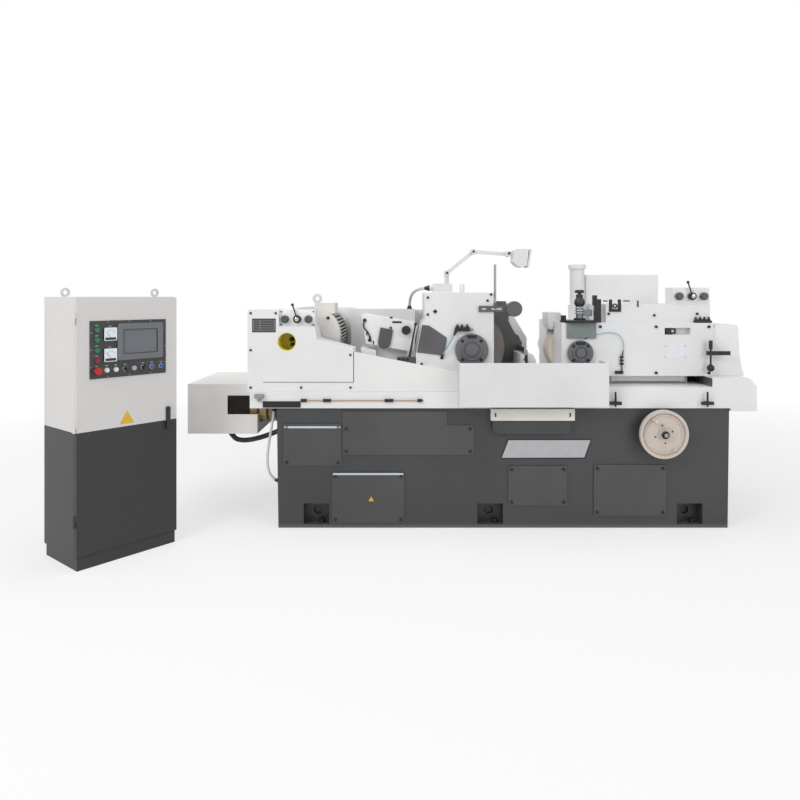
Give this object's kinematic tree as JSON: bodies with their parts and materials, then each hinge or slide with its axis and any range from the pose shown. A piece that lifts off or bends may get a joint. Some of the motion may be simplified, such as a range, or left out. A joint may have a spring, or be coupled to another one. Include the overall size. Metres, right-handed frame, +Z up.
{
  "type": "centerless grinder",
  "caption": "Centerless grinding machine with grinding and regulating wheels on a cast bed, feed handwheel, work lamp and a control cabinet beside it.",
  "frame": {"origin": "centre of the bed's footprint on the floor", "axes": "+X along the bed from the grinding wheel to the regulating wheel, +Y from the front to the back, +Z up"},
  "size_m": [4.2385, 1.8276, 1.7779],
  "materials": {
    "bed_paint": "satin dark grey machine paint",
    "white_paint": "satin white machine paint",
    "cream_paint": "satin cream paint",
    "cabinet_paint": "light grey powder coat, dark grey below",
    "dark_paint": "satin grey paint",
    "black_steel": "blackened steel",
    "machined_steel": "ground steel",
    "bearing_bronze": "bearing bronze",
    "grinding_abrasive": "vitrified abrasive, matt and grainy",
    "regulating_rubber": "rubber bonded wheel, matt beige",
    "black_rubber": "matt black rubber",
    "cable_jacket": "white plastic sheath",
    "ochre_paint": "ochre paint",
    "lamp_plastic": "white lamp plastic",
    "knob_plastic": "glossy dark plastic",
    "panel_plate": "dark instrument plate",
    "gear_grey": "light grey switchgear",
    "stop_red": "glossy red plastic",
    "button_white": "glossy white plastic",
    "button_blue": "glossy blue plastic"
  },
  "bodies": {
    "frame": {"bed": "bed_paint", "bed_covers": "bed_paint", "levelling_jacks": "black_steel", "drip_tray": "cream_paint", "lower_table": "white_paint", "splash_trough": "white_paint", "left_housing": "white_paint", "main_motor": "white_paint", "main_belts": "black_rubber", "wheel_head": "white_paint", "wheel_bearings": "bearing_bronze", "wheel_bearing_cap": "dark_paint", "wheel_guard": "dark_paint", "belt_guard": "white_paint", "workrest": "machined_steel", "work_blade": "machined_steel", "dresser_tray": "white_paint", "dresser_base": "dark_paint", "coolant_box": "white_paint", "coolant_hose": "black_rubber", "feed_motor": "ochre_paint", "table_cable": "cable_jacket", "lamp_base": "white_paint", "cabinet_body": "cabinet_paint", "cabinet_gear": "gear_grey"},
    "motor_rotor": {"motor_pulley": "machined_steel"},
    "grinding_spindle": {"wheel_spindle": "machined_steel", "grinding_wheel": "grinding_abrasive"},
    "dresser_slide": {"wheel_dresser": "white_paint"},
    "dresser_screw": {"dresser_knob": "knob_plastic"},
    "lamp_lower": {"lamp_lower_arm": "lamp_plastic"},
    "lamp_upper": {"lamp_upper_arm": "lamp_plastic"},
    "lamp_hood": {"lamp_head": "lamp_plastic"},
    "handwheel": {"feed_handwheel": "cream_paint"},
    "carriage": {"regulating_head": "white_paint", "carriage_covers": "white_paint", "regulating_cap": "dark_paint"},
    "regulating_rotor": {"regulating_spindle": "machined_steel", "regulating_wheel": "regulating_rubber"},
    "reg_dresser_slide": {"reg_dresser": "dark_paint"},
    "reg_dresser_wheel": {"dresser_handwheel": "black_steel"},
    "left_lever_body": {"left_lever": "black_steel"},
    "left_knob_a_body": {"left_knob_a": "knob_plastic"},
    "left_knob_b_body": {"left_knob_b": "knob_plastic"},
    "right_lever_body": {"right_lever": "black_steel"},
    "right_knob_a_body": {"right_knob_a": "knob_plastic"},
    "right_knob_b_body": {"right_knob_b": "knob_plastic"},
    "clamp_a": {"clamp_lever_a": "black_steel"},
    "clamp_b": {"clamp_lever_b": "black_steel"},
    "end_lever_body": {"end_lever": "black_steel"},
    "door": {"cabinet_door": "cabinet_paint", "control_panel": "panel_plate"},
    "door_handle_body": {"door_handle": "knob_plastic"},
    "stop": {"stop_button": "stop_red"},
    "white_a": {"white_button_a": "button_white"},
    "white_b": {"white_button_b": "button_white"},
    "selector_body": {"selector": "knob_plastic"},
    "dial_body": {"dial": "knob_plastic"},
    "blue_a": {"blue_button_a": "button_blue"},
    "blue_b": {"blue_button_b": "button_blue"}
  },
  "joints": [
    {"name": "wheel_spin", "type": "hinge", "parent": "frame", "child": "grinding_spindle", "pos_m": [-0.18696, 0, 1.11], "axis": [0, 1, 0], "continuous": true},
    {"name": "motor_spin", "type": "hinge", "parent": "frame", "child": "motor_rotor", "pos_m": [-1.25001, 0.42, 1.193], "axis": [0, 1, 0], "continuous": true},
    {"name": "feed_slide", "type": "slide", "parent": "frame", "child": "carriage", "axis": [-1, 0, 0], "range_m": [-0.05, 0.09]},
    {"name": "feed_turn", "type": "hinge", "parent": "frame", "child": "handwheel", "pos_m": [0.982, -0.55, 0.606], "axis": [0, 1, 0], "range_deg": [-730, 1300]},
    {"name": "regulating_spin", "type": "hinge", "parent": "carriage", "child": "regulating_rotor", "pos_m": [0.51004, 0, 1.093], "axis": [0, 1, 0], "continuous": true},
    {"name": "dresser_traverse", "type": "slide", "parent": "frame", "child": "dresser_slide", "axis": [0, 1, 0], "range_m": [-0.04, 0.1]},
    {"name": "dresser_screw_turn", "type": "hinge", "parent": "dresser_slide", "child": "dresser_screw", "pos_m": [-0.61035, -0.35, 1.23529], "axis": [0, 1, 0], "continuous": true},
    {"name": "reg_dresser_traverse", "type": "slide", "parent": "carriage", "child": "reg_dresser_slide", "axis": [0, 1, 0], "range_m": [-0.02, 0.08]},
    {"name": "reg_dresser_turn", "type": "hinge", "parent": "reg_dresser_slide", "child": "reg_dresser_wheel", "pos_m": [0.52104, -0.395, 1.2883], "axis": [0, 0, 1], "continuous": true},
    {"name": "lamp_lower_tilt", "type": "hinge", "parent": "frame", "child": "lamp_lower", "pos_m": [-0.33596, -0.25, 1.615], "axis": [0, 1, 0], "range_deg": [-40, 15]},
    {"name": "lamp_upper_tilt", "type": "hinge", "parent": "lamp_lower", "child": "lamp_upper", "pos_m": [-0.15955, -0.25, 1.75786], "axis": [0, 1, 0], "range_deg": [-45, 20]},
    {"name": "lamp_hood_tilt", "type": "hinge", "parent": "lamp_upper", "child": "lamp_hood", "pos_m": [0.06989, -0.25, 1.74181], "axis": [0, 1, 0], "range_deg": [-40, 45]},
    {"name": "left_knob_a_turn", "type": "hinge", "parent": "frame", "child": "left_knob_a_body", "pos_m": [-1.37458, -0.53, 1.31325], "axis": [0, 1, 0], "range_deg": [-135, 135]},
    {"name": "left_lever_turn", "type": "hinge", "parent": "frame", "child": "left_lever_body", "pos_m": [-1.29765, -0.53, 1.31325], "axis": [0, 1, 0], "range_deg": [-25, 45]},
    {"name": "left_knob_b_turn", "type": "hinge", "parent": "frame", "child": "left_knob_b_body", "pos_m": [-1.22629, -0.53, 1.31325], "axis": [0, 1, 0], "range_deg": [-135, 135]},
    {"name": "right_knob_a_turn", "type": "hinge", "parent": "carriage", "child": "right_knob_a_body", "pos_m": [1.15844, -0.418, 1.4583], "axis": [0, 1, 0], "range_deg": [-135, 135]},
    {"name": "right_lever_turn", "type": "hinge", "parent": "carriage", "child": "right_lever_body", "pos_m": [1.24124, -0.418, 1.4583], "axis": [0, 1, 0], "range_deg": [-25, 45]},
    {"name": "right_knob_b_turn", "type": "hinge", "parent": "carriage", "child": "right_knob_b_body", "pos_m": [1.31804, -0.418, 1.4583], "axis": [0, 1, 0], "range_deg": [-135, 135]},
    {"name": "clamp_a_turn", "type": "hinge", "parent": "frame", "child": "clamp_a", "pos_m": [0.694, -0.57, 0.792], "axis": [0, 1, 0], "range_deg": [0, 90]},
    {"name": "clamp_b_turn", "type": "hinge", "parent": "frame", "child": "clamp_b", "pos_m": [1.26704, -0.57, 0.792], "axis": [0, 1, 0], "range_deg": [0, 90]},
    {"name": "end_lever_turn", "type": "hinge", "parent": "carriage", "child": "end_lever_body", "pos_m": [1.33504, -0.45, 1.095], "axis": [0, 1, 0], "range_deg": [-25, 25]},
    {"name": "door_swing", "type": "hinge", "parent": "frame", "child": "door", "pos_m": [-2.35718, -1.25061, 0.7275], "axis": [0, 0, -1], "range_deg": [0, 110]},
    {"name": "handle_swing", "type": "hinge", "parent": "door", "child": "door_handle_body", "pos_m": [-2.01308, -0.84094, 0.8], "axis": [-0.7705, 0.6374, 0], "range_deg": [0, 90]},
    {"name": "stop_press", "type": "slide", "parent": "door", "child": "stop", "axis": [-0.7705, 0.6374, 0], "range_m": [0, 0.004], "stiffness_N_per_m": 500, "springref_m": -0.002},
    {"name": "white_a_press", "type": "slide", "parent": "door", "child": "white_a", "axis": [-0.7705, 0.6374, 0], "range_m": [0, 0.004], "stiffness_N_per_m": 500, "springref_m": -0.002},
    {"name": "white_b_press", "type": "slide", "parent": "door", "child": "white_b", "axis": [-0.7705, 0.6374, 0], "range_m": [0, 0.004], "stiffness_N_per_m": 500, "springref_m": -0.002},
    {"name": "selector_turn", "type": "hinge", "parent": "door", "child": "selector_body", "pos_m": [-2.17849, -1.04089, 1.05488], "axis": [-0.7705, 0.6374, 0], "range_deg": [-45, 75]},
    {"name": "dial_turn", "type": "hinge", "parent": "door", "child": "dial_body", "pos_m": [-2.11139, -0.95978, 1.05488], "axis": [-0.7705, 0.6374, 0], "range_deg": [-140, 140]},
    {"name": "blue_a_press", "type": "slide", "parent": "door", "child": "blue_a", "axis": [-0.7705, 0.6374, 0], "range_m": [0, 0.004], "stiffness_N_per_m": 500, "springref_m": -0.002},
    {"name": "blue_b_press", "type": "slide", "parent": "door", "child": "blue_b", "axis": [-0.7705, 0.6374, 0], "range_m": [0, 0.004], "stiffness_N_per_m": 500, "springref_m": -0.002}
  ],
  "couplings": [
    {"joint": "motor_spin", "follows": "wheel_spin", "ratio": 1.2},
    {"joint": "feed_turn", "follows": "feed_slide", "rad_per_m": 251.33}
  ]
}
